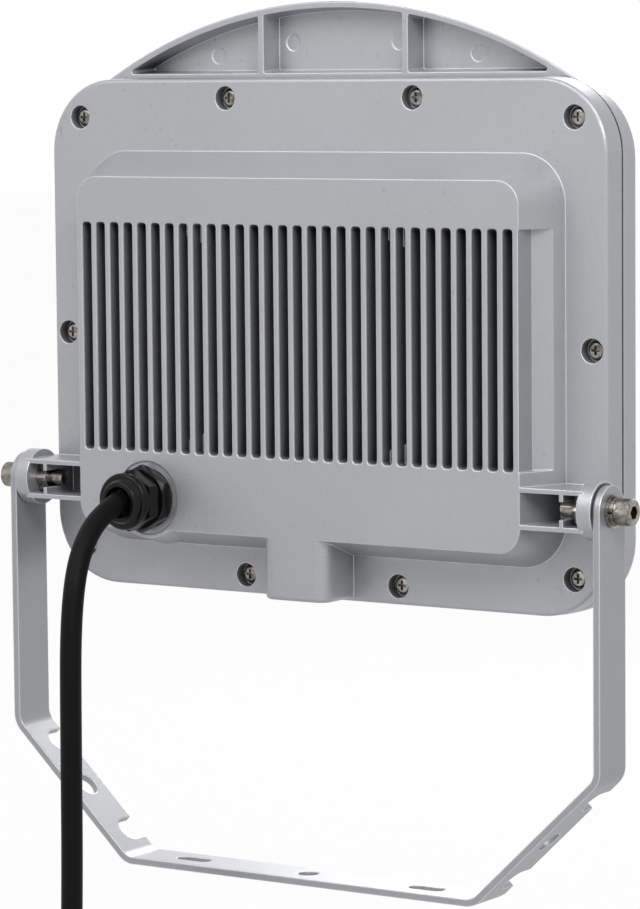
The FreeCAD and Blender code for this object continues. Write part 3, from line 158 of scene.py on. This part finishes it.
class Shader:
    """A small helper for node trees: every call adds a node and returns its output."""

    def __init__(self, name):
        self.material = bpy.data.materials.new(name)
        self.material.use_nodes = True
        self.tree = self.material.node_tree
        self.tree.nodes.clear()
        self.out = self.tree.nodes.new("ShaderNodeOutputMaterial")
        self.bsdf = self.tree.nodes.new("ShaderNodeBsdfPrincipled")
        self.join(self.bsdf.outputs[0], self.out.inputs["Surface"])
        self.place = self.tree.nodes.new("ShaderNodeTexCoord").outputs["Object"]

    def join(self, source, target):
        self.tree.links.new(source, target)

    def node(self, kind, inputs=None, **settings):
        made = self.tree.nodes.new(kind)
        for key, value in settings.items():
            setattr(made, key, value)
        for key, value in (inputs or {}).items():
            if isinstance(value, bpy.types.NodeSocket):
                self.join(value, made.inputs[key])
            else:
                made.inputs[key].default_value = value
        return made

    def set(self, **values):
        """Shader inputs by name, with _ for a space: a number, a colour or a socket."""
        for key, value in values.items():
            socket = self.bsdf.inputs[key.replace("_", " ")]
            if isinstance(value, bpy.types.NodeSocket):
                self.join(value, socket)
            elif isinstance(value, tuple):
                socket.default_value = (*value, 1.0)
            else:
                socket.default_value = value

    def noise(self, scale, detail=2.0, rough=0.5, vector=None):
        return self.node("ShaderNodeTexNoise", {
            "Vector": vector or self.place, "Scale": scale, "Detail": detail, "Roughness": rough,
        }).outputs["Fac"]

    def stretched(self, scale):
        return self.node("ShaderNodeVectorMath", {0: self.place, 1: scale},
                         operation="MULTIPLY").outputs[0]

    def cells(self, scale, feature="F1"):
        return self.node("ShaderNodeTexVoronoi", {"Vector": self.place, "Scale": scale},
                         feature=feature).outputs["Distance"]

    def math(self, operation, a, b=0.0, clamp=False):
        return self.node("ShaderNodeMath", {0: a, 1: b}, operation=operation,
                         use_clamp=clamp).outputs[0]

    def span(self, value, low, high, to_low=0.0, to_high=1.0):
        return self.node("ShaderNodeMapRange", {
            "Value": value, "From Min": low, "From Max": high, "To Min": to_low, "To Max": to_high,
        }).outputs["Result"]

    def mix(self, share, a, b):
        made = self.tree.nodes.new("ShaderNodeMix")
        made.data_type = "RGBA"
        for socket, value in ((made.inputs[0], share), (made.inputs[6], a), (made.inputs[7], b)):
            if isinstance(value, bpy.types.NodeSocket):
                self.join(value, socket)
            elif isinstance(value, tuple):
                socket.default_value = (*value, 1.0)
            else:
                socket.default_value = value
        return made.outputs[2]

    def axes(self):
        made = self.node("ShaderNodeSeparateXYZ", {0: self.place})
        return made.outputs[0], made.outputs[1], made.outputs[2]

    def rounded(self, radius, samples=8):
        return self.node("ShaderNodeBevel", {"Radius": radius}, samples=samples).outputs[0]

    def bump(self, height, distance, strength=1.0, normal=None):
        inputs = {"Height": height, "Distance": distance, "Strength": strength}
        if normal is not None:
            inputs["Normal"] = normal
        return self.node("ShaderNodeBump", inputs).outputs[0]

    def edges(self, rounded):
        """About 1 on an edge that the rounded normal turns over, 0 on flat faces."""
        flat = self.node("ShaderNodeNewGeometry").outputs["True Normal"]
        along = self.node("ShaderNodeVectorMath", {0: rounded, 1: flat},
                          operation="DOT_PRODUCT").outputs["Value"]
        return self.span(along, EDGE_STARTS, EDGE_FULL)

    def openness(self, distance):
        """1 on open faces, near 0 deep in a slot of the same piece."""
        return self.node("ShaderNodeAmbientOcclusion", {"Distance": distance},
                         samples=8, only_local=True).outputs["AO"]


# Cosine between the rounded and the flat normal where an edge's painted highlight starts, and where it
# is full
EDGE_STARTS = 0.995
EDGE_FULL = 0.86
EDGE_HIGHLIGHT_SHARE = 0.95
EDGE_HIGHLIGHT_COLOUR = (0.90, 0.91, 0.92)

# Painted shade in slots: down to this share of the coat's colour, by how much is open within the
# distance
SLOT_DISTANCE = 0.016
SLOT_SHUT = 0.10
SLOT_OPEN = 0.46
SLOT_SHADE_SHARE = 0.13


def silver_coat(name, base, light, grain, pits, radius, roughness):
    """Silver-grey powder coat over metal. Its edges get a painted highlight and its slots painted
    shade.
    """
    s = Shader(name)
    rounded = s.rounded(radius)
    edge = s.edges(rounded)
    cloud = s.noise(9.0, 3.0)
    flake = s.noise(2600.0, 1.0)
    tone = s.mix(s.span(cloud, 0.35, 0.65), tuple(c * 0.965 for c in base),
                 tuple(min(c * 1.025, 1) for c in base))
    tone = s.mix(s.span(flake, 0.45, 0.72, 0.0, 0.20), tone, light)
    blemish = s.math("MULTIPLY", s.span(s.noise(330.0, 2.0), 0.66, 0.74),
                     s.span(s.noise(14.0, 2.0), 0.46, 0.60))
    tone = s.mix(s.math("MULTIPLY", blemish, pits), tone, tuple(c * 0.55 for c in base))
    # Painted shade: the colour is darkened deep in slots
    tone = s.mix(s.span(s.openness(SLOT_DISTANCE), SLOT_SHUT, SLOT_OPEN),
                 tuple(c * SLOT_SHADE_SHARE for c in base), tone)
    # Painted highlight: the edges are lightened towards a pale colour
    tone = s.mix(s.math("MULTIPLY", edge, EDGE_HIGHLIGHT_SHARE), tone, EDGE_HIGHLIGHT_COLOUR)
    fine = s.noise(780.0, 3.0, 0.6)
    broad = s.noise(150.0, 2.0)
    holes = s.span(s.cells(260.0), 0.0, 0.22)
    relief = s.math("ADD", s.math("MULTIPLY", fine, grain), s.math("MULTIPLY", broad, grain * 0.9))
    relief = s.math("ADD", relief, s.math("MULTIPLY", holes, pits))
    s.set(Base_Color=tone, Metallic=0.45, Normal=s.bump(relief, 0.0001, 1.0, rounded),
          Roughness=s.span(fine, 0.3, 0.7, roughness - 0.04, roughness + 0.05))
    return s.material


def plated(name, dark, light, roughness, scale=(1.0, 1.0, 1.0), radius=0.0003):
    """Plated or turned metal with fine marks and warmer dark patches."""
    s = Shader(name)
    rounded = s.rounded(radius, 6)
    marks = s.noise(900.0, 3.0, 0.6, s.stretched(scale))
    patch = s.noise(220.0, 3.0, 0.6)
    tone = s.mix(s.span(patch, 0.36, 0.66), dark, light)
    s.set(Base_Color=tone, Metallic=1.0, Normal=s.bump(marks, 0.00004, 0.6, rounded),
          Roughness=s.span(marks, 0.25, 0.75, roughness - 0.06, roughness + 0.10))
    return s.material


# Knurling of the bolt heads, outside HEAD_STARTS on either side of the middle
KNURL_TEETH = 64.0
HEAD_STARTS = 0.1795
SIDE_NORMAL = 0.3


def knurled(name, dark, light, roughness):
    """The plated metal with straight knurling round the bolt heads' sides."""
    s = Shader(name)
    rounded = s.rounded(0.0003, 6)
    x, y, z = s.axes()
    turn = s.math("ARCTAN2", s.math("SUBTRACT", z, TILT_AXIS.z), y)
    teeth = s.math("SINE", s.math("MULTIPLY", turn, KNURL_TEETH))
    outer = s.math("GREATER_THAN", s.math("ABSOLUTE", x), HEAD_STARTS)
    normal = s.node("ShaderNodeSeparateXYZ", {0: s.node("ShaderNodeNewGeometry").outputs["Normal"]})
    side = s.math("LESS_THAN", s.math("ABSOLUTE", normal.outputs[0]), SIDE_NORMAL)
    on_side = s.math("MULTIPLY", outer, side)
    patch = s.noise(260.0, 3.0, 0.6)
    tone = s.mix(s.span(patch, 0.36, 0.66), dark, light)
    # Painted shade: the knurl's troughs are darkened in the colour
    shade = s.math("MULTIPLY", on_side, s.span(teeth, -0.2, -1.0))
    tone = s.mix(s.math("MULTIPLY", shade, 0.6), tone, tuple(c * 0.35 for c in dark))
    height = s.math("MULTIPLY", teeth, on_side)
    s.set(Base_Color=tone, Metallic=1.0, Normal=s.bump(height, 0.0001, 0.5, rounded),
          Roughness=s.span(patch, 0.3, 0.7, roughness, roughness + 0.1))
    return s.material


def moulded(name, base, roughness, grain=0.3, spread=0.08, radius=0.0004, **more):
    """Moulded plastic or rubber with a fine grain and slight colour and gloss changes."""
    s = Shader(name)
    rounded = s.rounded(radius, 6)
    fine = s.noise(1500.0, 2.0, 0.6)
    cloud = s.noise(60.0, 2.0)
    tone = s.mix(s.span(cloud, 0.3, 0.7), tuple(c * (1 - spread) for c in base),
                 tuple(min(c * (1 + spread), 1) for c in base))
    s.set(Base_Color=tone, Normal=s.bump(fine, 0.00004, grain, rounded),
          Roughness=s.span(cloud, 0.3, 0.7, roughness - 0.04, roughness + 0.06), **more)
    return s.material


def sheath(name, base):
    """Extruded rubber sheath with faint drawn lines and rubbed patches."""
    s = Shader(name)
    lines = s.noise(1200.0, 2.0, 0.6, s.stretched((1.0, 1.0, 0.04)))
    rub = s.noise(45.0, 4.0, 0.65)
    tone = s.mix(s.span(rub, 0.45, 0.8), base, tuple(c * 1.6 for c in base))
    s.set(Base_Color=tone, Normal=s.bump(lines, 0.00006, 0.5),
          Roughness=s.span(rub, 0.35, 0.7, 0.46, 0.58), Specular_IOR_Level=0.10)
    return s.material


# The stripes' frequency, a core's height over the middle one, and the slope that bounds the earth core
STRIPES = 2200.0
CORE_GAP = 0.0015
EARTH_SLOPE = -0.577


def core_colours(s, blue, earth):
    """Brown, blue and green-yellow insulation for three cores."""
    x, y, z = s.axes()
    stripe = s.math("SINE", s.math("MULTIPLY", s.math("ADD", x, y), STRIPES))
    striped = s.mix(s.math("GREATER_THAN", stripe, 0.0), (0.10, 0.42, 0.05), (0.80, 0.66, 0.03))
    tone = s.mix(blue, (0.16, 0.065, 0.025), (0.02, 0.10, 0.50))
    return s.mix(earth, tone, striped)


def inner_cores(name):
    """The cores inside the housing, told apart by height."""
    s = Shader(name)
    z = s.axes()[2]
    above = s.math("GREATER_THAN", z, GLAND_NOSE.z + CORE_GAP)
    below = s.math("LESS_THAN", z, GLAND_NOSE.z - CORE_GAP)
    s.set(Base_Color=core_colours(s, above, below),
          Roughness=s.span(s.noise(300.0), 0.3, 0.7, 0.33, 0.45))
    return s.material


def end_cores(name):
    """The stripped cores, told apart by the direction in which they fan out."""
    s = Shader(name)
    x, y, z = s.axes()
    end = Vector(ROUTE[-1]) + GLAND_NOSE
    ahead = (Vector(ROUTE[-1]) - Vector(ROUTE[-2])).normalized()
    down = s.math("SUBTRACT", end.z, z)
    centre_x = s.math("ADD", s.math("MULTIPLY", down, ahead.x / -ahead.z), end.x)
    centre_y = s.math("ADD", s.math("MULTIPLY", down, ahead.y / -ahead.z), end.y)
    dx, dy = s.math("SUBTRACT", x, centre_x), s.math("SUBTRACT", y, centre_y)
    left = s.math("LESS_THAN", dx, 0.0)
    front = s.math("LESS_THAN", dy, s.math("MULTIPLY", s.math("ABSOLUTE", dx), EARTH_SLOPE))
    s.set(Base_Color=core_colours(s, left, front),
          Roughness=s.span(s.noise(300.0), 0.3, 0.7, 0.33, 0.45))
    return s.material


# The red wires: right of this place along the board, or above this height beside the terminals
RED_RIGHT_OF = -0.0315
RED_ABOVE = 0.1980


def hook_up(name):
    """Red and black wires, told apart by height or by place along the board."""
    s = Shader(name)
    x, y, z = s.axes()
    at_board = s.math("LESS_THAN", x, 0.0)
    right = s.math("GREATER_THAN", x, RED_RIGHT_OF)
    high = s.math("GREATER_THAN", z, RED_ABOVE)
    red = s.math("ADD", s.math("MULTIPLY", at_board, right),
                 s.math("MULTIPLY", s.math("SUBTRACT", 1.0, at_board), high))
    tone = s.mix(red, (0.025, 0.025, 0.027), (0.50, 0.03, 0.025))
    s.set(Base_Color=tone, Roughness=s.span(s.noise(300.0), 0.3, 0.7, 0.35, 0.45))
    return s.material


def glass(name):
    """Tempered front glass, faintly green, with a trace of dust in its gloss."""
    s = Shader(name)
    dust = s.noise(35.0, 4.0, 0.7)
    s.set(Base_Color=(0.93, 0.975, 0.955), Transmission_Weight=1.0, IOR=1.5,
          Roughness=s.span(dust, 0.55, 0.9, 0.0, 0.05))
    return s.material


def reflector_sheet(name):
    """Bright pressed sheet with a fine hammered grain."""
    s = Shader(name)
    dimples = s.cells(420.0, "SMOOTH_F1")
    haze = s.noise(40.0, 3.0)
    s.set(Base_Color=s.mix(s.span(haze, 0.3, 0.7), (0.86, 0.87, 0.88), (0.93, 0.93, 0.94)),
          Metallic=1.0, Normal=s.bump(dimples, 0.0003, 0.35, s.rounded(0.0006, 6)),
          Roughness=s.span(haze, 0.3, 0.7, 0.20, 0.30))
    return s.material


LED_PITCH = 0.0096
LIGHT_HEIGHT = TILT_AXIS.z + 0.0751
DOME_R = 0.0015
PHOSPHOR_R = 0.00145
PHOSPHOR_FULL_R = 0.0013
TRACK_REACH = 0.045


def led_grid(s):
    """Distance of a point from the centre of the nearest LED, seen along Y."""
    x, y, z = s.axes()
    off = []
    for value in (x, s.math("SUBTRACT", z, LIGHT_HEIGHT)):
        steps = s.math("DIVIDE", value, LED_PITCH)
        off.append(s.math("SUBTRACT", steps, s.math("ROUND", steps)))
    square = s.math("ADD", s.math("POWER", s.math("ABSOLUTE", off[0]), 2.0),
                    s.math("POWER", s.math("ABSOLUTE", off[1]), 2.0))
    return s.math("MULTIPLY", s.math("SQRT", square), LED_PITCH), off, x, z


def led_chip(name):
    """White packages with a round yellow phosphor dome in each."""
    s = Shader(name)
    radius = led_grid(s)[0]
    phosphor = s.span(radius, PHOSPHOR_R, PHOSPHOR_FULL_R)
    speck = s.noise(4000.0, 2.0)
    yellow = s.mix(s.span(speck, 0.35, 0.65), (0.78, 0.60, 0.10), (0.90, 0.74, 0.20))
    s.set(Base_Color=s.mix(phosphor, (0.86, 0.86, 0.83), yellow),
          Roughness=s.span(phosphor, 0.0, 1.0, 0.45, 0.28),
          Normal=s.bump(s.span(radius, DOME_R, 0.0), 0.0004, 0.8))
    return s.material


def white_board(name):
    """White solder mask with faint copper tracks between the LEDs."""
    s = Shader(name)
    radius, off, x, z = led_grid(s)
    row = s.span(s.math("ABSOLUTE", off[1]), 0.30, 0.26)
    gap = s.span(s.math("ABSOLUTE", off[0]), 0.46, 0.48)
    inside_x = s.math("LESS_THAN", s.math("ABSOLUTE", x), TRACK_REACH)
    up = s.math("SUBTRACT", z, LIGHT_HEIGHT)
    inside_z = s.math("LESS_THAN", s.math("ABSOLUTE", up), TRACK_REACH)
    track = s.math("MULTIPLY", s.math("MULTIPLY", row, s.math("SUBTRACT", 1.0, gap)),
                   s.math("MULTIPLY", inside_x, inside_z))
    tone = s.mix(s.math("MULTIPLY", track, 0.10), (0.84, 0.84, 0.82), (0.62, 0.50, 0.36))
    s.set(Base_Color=tone, Normal=s.bump(track, 0.00004, 1.0),
          Roughness=s.span(s.noise(500.0), 0.3, 0.7, 0.34, 0.46))
    return s.material


def green_board(name):
    """Green solder mask with tracks laid as a maze of cells."""
    s = Shader(name)
    cells = s.node("ShaderNodeTexVoronoi", {"Vector": s.place, "Scale": 260.0},
                   feature="F1", distance="CHEBYCHEV").outputs["Distance"]
    track = s.span(cells, 0.30, 0.34)
    s.set(Base_Color=s.mix(track, (0.02, 0.14, 0.06), (0.04, 0.24, 0.10)),
          Normal=s.bump(track, 0.00004, 1.0), Roughness=s.span(track, 0, 1, 0.30, 0.40))
    return s.material


# The winding's tape on the transformer: its middle and half width along X, and its span in Y
TAPE_X = -0.0365
TAPE_HALF = 0.0080
TAPE_Y = (-0.0073, -0.0021)


def wound_core(name):
    """Dark ferrite, with the winding's yellow tape where it stands proud of the core."""
    s = Shader(name)
    x, y, z = s.axes()
    near = s.math("LESS_THAN", s.math("ABSOLUTE", s.math("SUBTRACT", x, TAPE_X)), TAPE_HALF)
    low = s.math("LESS_THAN", y, TAPE_Y[1])
    high = s.math("GREATER_THAN", y, TAPE_Y[0])
    tape = s.math("MULTIPLY", near, s.math("MULTIPLY", low, high))
    turns = s.noise(260.0, 1.0, 0.5, s.stretched((0.02, 1.0, 0.02)))
    grain = s.noise(700.0, 3.0)
    ferrite = s.mix(s.span(grain, 0.3, 0.7), (0.045, 0.042, 0.040), (0.075, 0.070, 0.066))
    yellow = s.mix(s.span(turns, 0.4, 0.6), (0.62, 0.46, 0.08), (0.75, 0.58, 0.12))
    s.set(Base_Color=s.mix(tape, ferrite, yellow), Roughness=s.span(tape, 0, 1, 0.65, 0.35))
    return s.material


CRIMPS = 7500.0


def tinned(name):
    """Tinned copper with crimp marks across it."""
    s = Shader(name)
    z = s.axes()[2]
    marks = s.math("SINE", s.math("MULTIPLY", z, CRIMPS))
    haze = s.span(s.noise(500.0, 2.0), 0.3, 0.7)
    s.set(Base_Color=s.mix(haze, (0.62, 0.60, 0.56), (0.78, 0.77, 0.74)), Metallic=1.0,
          Roughness=s.span(marks, -1, 1, 0.24, 0.34), Normal=s.bump(marks, 0.00012, 0.7))
    return s.material


CAST_BASE = (0.465, 0.477, 0.502)
STRIP_BASE = (0.392, 0.402, 0.423)
CAST_LIGHT = (0.76, 0.77, 0.79)
casting = silver_coat("silver_casting", CAST_BASE, CAST_LIGHT, 0.55, 0.35, 0.0009, 0.40)
strip = silver_coat("silver_strip", STRIP_BASE, CAST_LIGHT, 0.35, 0.10, 0.0011, 0.38)
sheet = plated("driver_sheet", (0.50, 0.51, 0.52), (0.66, 0.67, 0.68), 0.36, (1.0, 1.0, 0.08))
nickel = plated("nickel_plate", (0.15, 0.14, 0.115), (0.44, 0.42, 0.38), 0.22)
screw_steel = plated("screw_steel", (0.12, 0.11, 0.095), (0.42, 0.40, 0.37), 0.16)
seal_rubber = moulded("seal_rubber", (0.016, 0.016, 0.017), 0.55, 0.5)
nylon = moulded("black_nylon", (0.005, 0.005, 0.0055), 0.20, 0.25, Specular_IOR_Level=0.2)
sheath_rubber = sheath("cable_sheath", (0.0055, 0.0055, 0.0058))

MATERIALS = {
    "bracket": strip,
    "rear_housing": casting,
    "front_frame": casting,
    "housing_seal": seal_rubber,
    "glass_seal": seal_rubber,
    "gland_ring": seal_rubber,
    "gland_bush": seal_rubber,
    "gland_body": nylon,
    "gland_cap": nylon,
    "gland_locknut": nylon,
    "friction_washers": moulded("fibre_washer", (0.030, 0.030, 0.031), 0.62, 0.6),
    "frame_screws": screw_steel,
    "board_screws": nickel,
    "driver_screws": nickel,
    "pivot_washers": nickel,
    "spring_washers": nickel,
    "captive_nuts": nickel,
    "pivot_bolts": knurled("bolt_nickel", (0.13, 0.12, 0.10), (0.40, 0.39, 0.36), 0.18),
    "front_glass": glass("front_glass"),
    "reflector": reflector_sheet("bright_reflector"),
    "led_board": white_board("white_board"),
    "leds": led_chip("led_chip"),
    "driver_plate": sheet,
    "driver_cover": sheet,
    "driver_board": green_board("green_board"),
    "driver_transformer": wound_core("wound_core"),
    "driver_capacitors": moulded("capacitor_sleeve", (0.02, 0.02, 0.04), 0.28, 0.2),
    "terminal_block": moulded("terminal_plastic", (0.74, 0.74, 0.68), 0.38, 0.3),
    "supply_cores": inner_cores("core_colours"),
    "cable_cores": end_cores("end_core_colours"),
    "driver_input_wires": hook_up("hook_up_wire"),
    "cable_inner": sheath_rubber,
    "core_ferrules": tinned("tinned_copper"),
}
MATERIALS["led_wires"] = MATERIALS["driver_input_wires"]

for name, material in MATERIALS.items():
    for slot in nodes[name].material_slots:
        slot.material = material

cable.data.materials.append(sheath_rubber)
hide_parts("supply_cable")
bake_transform(cable)


# Floor, world and lamps

FLOOR_Z = -0.135
FLOOR_HALF = 12.0
# How much of the floor is seen as plain white. The rest keeps the shadow
FLOOR_WHITE = 0.97


def pale_floor():
    """A wide pale floor under the cable's end. It is seen white and keeps a faint shadow."""
    mesh = bpy.data.meshes.new("floor")
    w = FLOOR_HALF
    corners = [(-w, -w, FLOOR_Z), (w, -w, FLOOR_Z), (w, w, FLOOR_Z), (-w, w, FLOOR_Z)]
    mesh.from_pydata(corners, [], [(0, 1, 2, 3)])
    obj = bpy.data.objects.new("floor", mesh)
    bpy.context.scene.collection.objects.link(obj)
    material = bpy.data.materials.new("pale_floor")
    material.use_nodes = True
    tree = material.node_tree
    tree.nodes.clear()
    out = tree.nodes.new("ShaderNodeOutputMaterial")
    mix = tree.nodes.new("ShaderNodeMixShader")
    plain = tree.nodes.new("ShaderNodeBsdfDiffuse")
    plain.inputs["Color"].default_value = (0.62, 0.62, 0.62, 1)
    white = tree.nodes.new("ShaderNodeEmission")
    share = tree.nodes.new("ShaderNodeMath")
    share.operation = "MULTIPLY"
    share.inputs[1].default_value = FLOOR_WHITE
    tree.links.new(seen_directly(tree), share.inputs[0])
    tree.links.new(share.outputs[0], mix.inputs[0])
    tree.links.new(plain.outputs[0], mix.inputs[1])
    tree.links.new(white.outputs[0], mix.inputs[2])
    tree.links.new(mix.outputs[0], out.inputs["Surface"])
    mesh.materials.append(material)


def seen_directly(tree):
    """1 for rays from the camera, from gloss and through glass."""
    path = tree.nodes.new("ShaderNodeLightPath")
    total = path.outputs["Is Camera Ray"]
    for name in ("Is Glossy Ray", "Is Transmission Ray"):
        either = tree.nodes.new("ShaderNodeMath")
        either.operation = "MAXIMUM"
        tree.links.new(total, either.inputs[0])
        tree.links.new(path.outputs[name], either.inputs[1])
        total = either.outputs[0]
    return total


def world_light(strength):
    world = bpy.data.worlds.new("studio")
    world.use_nodes = True
    tree = world.node_tree
    tree.nodes.clear()
    out = tree.nodes.new("ShaderNodeOutputWorld")
    mix = tree.nodes.new("ShaderNodeMixShader")
    soft = tree.nodes.new("ShaderNodeBackground")
    soft.inputs["Color"].default_value = (1, 1, 1, 1)
    soft.inputs["Strength"].default_value = strength
    white = tree.nodes.new("ShaderNodeBackground")
    white.inputs["Color"].default_value = (1, 1, 1, 1)
    tree.links.new(seen_directly(tree), mix.inputs[0])
    tree.links.new(soft.outputs[0], mix.inputs[1])
    tree.links.new(white.outputs[0], mix.inputs[2])
    tree.links.new(mix.outputs[0], out.inputs["Surface"])
    bpy.context.scene.world = world


def softbox(name, place, target, width, height, power):
    data = bpy.data.lights.new(name, "AREA")
    data.shape = "RECTANGLE"
    data.size = width
    data.size_y = height
    data.energy = power
    place, target = Vector(place), Vector(target)
    aimed(bpy.data.objects.new(name, data), place, place - target)


WORLD_STRENGTH = 0.15
MIDDLE = (0, 0, 0.24)
# Name, place, width, height and power in watts. All of them point at the middle
LAMPS = [
    ("key", (-0.9, 0.9, 1.2), 0.8, 0.8, 10.5),
    ("fill", (0.4, 1.0, 1.2), 0.8, 0.8, 5.5),
    ("above", (0.2, 1.6, 2.4), 1.4, 1.0, 4),
    ("front", (0.5, -1.5, 1.0), 1.0, 1.0, 16),
]
pale_floor()
world_light(WORLD_STRENGTH)
for name, place, width, height, power in LAMPS:
    softbox(name, place, MIDDLE, width, height, power)

bpy.context.scene.view_settings.view_transform = "Standard"
